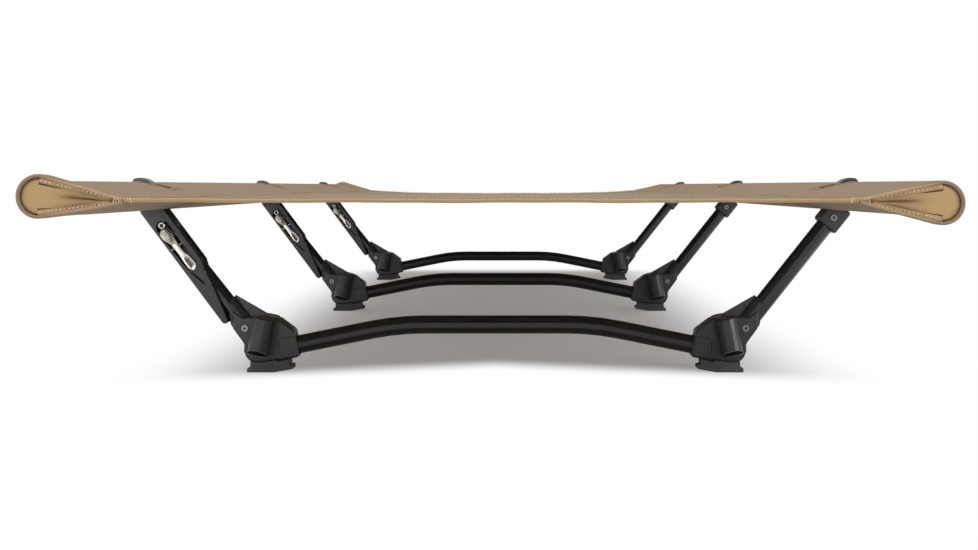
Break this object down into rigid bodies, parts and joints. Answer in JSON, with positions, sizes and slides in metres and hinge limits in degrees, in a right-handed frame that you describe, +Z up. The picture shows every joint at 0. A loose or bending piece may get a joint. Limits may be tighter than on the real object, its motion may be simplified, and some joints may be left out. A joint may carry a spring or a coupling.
{
  "type": "camping cot",
  "caption": "Low folding camping cot: a tan fabric sling on two side poles, bent black cross legs with hubs, rubber feet and tension levers with steel latches.",
  "frame": {"origin": "bottom centre of the bounding box, on the floor under the middle of the bed", "axes": "+Y along the bed, +Z up, +X across it towards the side without levers"},
  "size_m": [0.6774, 1.9, 0.1792],
  "materials": {
    "black_tube": "satin black",
    "black_plastic": "fine grain",
    "lever_plastic": "satin",
    "foot_rubber": "matte",
    "latch_steel": "polished",
    "rivet_metal": "plain",
    "tan_fabric": "woven"
  },
  "bodies": {
    "frame": {"crossbar_front": "black_tube", "hub_right_front": "black_plastic", "foot_right_front": "foot_rubber", "hub_rivet_right_front": "rivet_metal", "hub_left_front": "black_plastic", "foot_left_front": "foot_rubber", "hub_rivet_left_front": "rivet_metal", "arm_tube_front": "black_tube", "clip_right_front": "black_plastic", "clip_rivet_front": "rivet_metal", "link_tube_front": "black_tube", "clip_left_front": "black_plastic", "lever_pin_front": "latch_steel", "crossbar_middle": "black_tube", "hub_right_middle": "black_plastic", "foot_right_middle": "foot_rubber", "hub_rivet_right_middle": "rivet_metal", "hub_left_middle": "black_plastic", "foot_left_middle": "foot_rubber", "hub_rivet_left_middle": "rivet_metal", "arm_tube_middle": "black_tube", "clip_right_middle": "black_plastic", "clip_rivet_middle": "rivet_metal", "link_tube_middle": "black_tube", "clip_left_middle": "black_plastic", "lever_pin_middle": "latch_steel", "crossbar_rear": "black_tube", "hub_right_rear": "black_plastic", "foot_right_rear": "foot_rubber", "hub_rivet_right_rear": "rivet_metal", "hub_left_rear": "black_plastic", "foot_left_rear": "foot_rubber", "hub_rivet_left_rear": "rivet_metal", "arm_tube_rear": "black_tube", "clip_right_rear": "black_plastic", "clip_rivet_rear": "rivet_metal", "link_tube_rear": "black_tube", "clip_left_rear": "black_plastic", "lever_pin_rear": "latch_steel", "pole_left": "black_tube", "pole_plug_left_front": "black_plastic", "pole_plug_left_rear": "black_plastic", "pole_right": "black_tube", "pole_plug_right_front": "black_plastic", "pole_plug_right_rear": "black_plastic", "sling": "tan_fabric"},
    "lever_front": {"lever_front": "lever_plastic", "latch_pin_front": "latch_steel"},
    "latch_front": {"latch_front": "latch_steel"},
    "lever_middle": {"lever_middle": "lever_plastic", "latch_pin_middle": "latch_steel"},
    "latch_middle": {"latch_middle": "latch_steel"},
    "lever_rear": {"lever_rear": "lever_plastic", "latch_pin_rear": "latch_steel"},
    "latch_rear": {"latch_rear": "latch_steel"}
  },
  "joints": [
    {"name": "lever_swing_front", "type": "hinge", "parent": "frame", "child": "lever_front", "pos_m": [-0.31012, -0.65, 0.14185], "axis": [0, 1, 0], "range_deg": [0, 100]},
    {"name": "latch_press_front", "type": "hinge", "parent": "lever_front", "child": "latch_front", "pos_m": [-0.29221, -0.6612, 0.11491], "axis": [-0.8007, 0, -0.599], "range_deg": [0, 5], "stiffness_Nm_per_rad": 0.8},
    {"name": "lever_swing_middle", "type": "hinge", "parent": "frame", "child": "lever_middle", "pos_m": [-0.31012, 0, 0.14185], "axis": [0, 1, 0], "range_deg": [0, 100]},
    {"name": "latch_press_middle", "type": "hinge", "parent": "lever_middle", "child": "latch_middle", "pos_m": [-0.29221, -0.0112, 0.11491], "axis": [-0.8007, 0, -0.599], "range_deg": [0, 5], "stiffness_Nm_per_rad": 0.8},
    {"name": "lever_swing_rear", "type": "hinge", "parent": "frame", "child": "lever_rear", "pos_m": [-0.31012, 0.65, 0.14185], "axis": [0, 1, 0], "range_deg": [0, 100]},
    {"name": "latch_press_rear", "type": "hinge", "parent": "lever_rear", "child": "latch_rear", "pos_m": [-0.29221, 0.6388, 0.11491], "axis": [-0.8007, 0, -0.599], "range_deg": [0, 5], "stiffness_Nm_per_rad": 0.8}
  ]
}
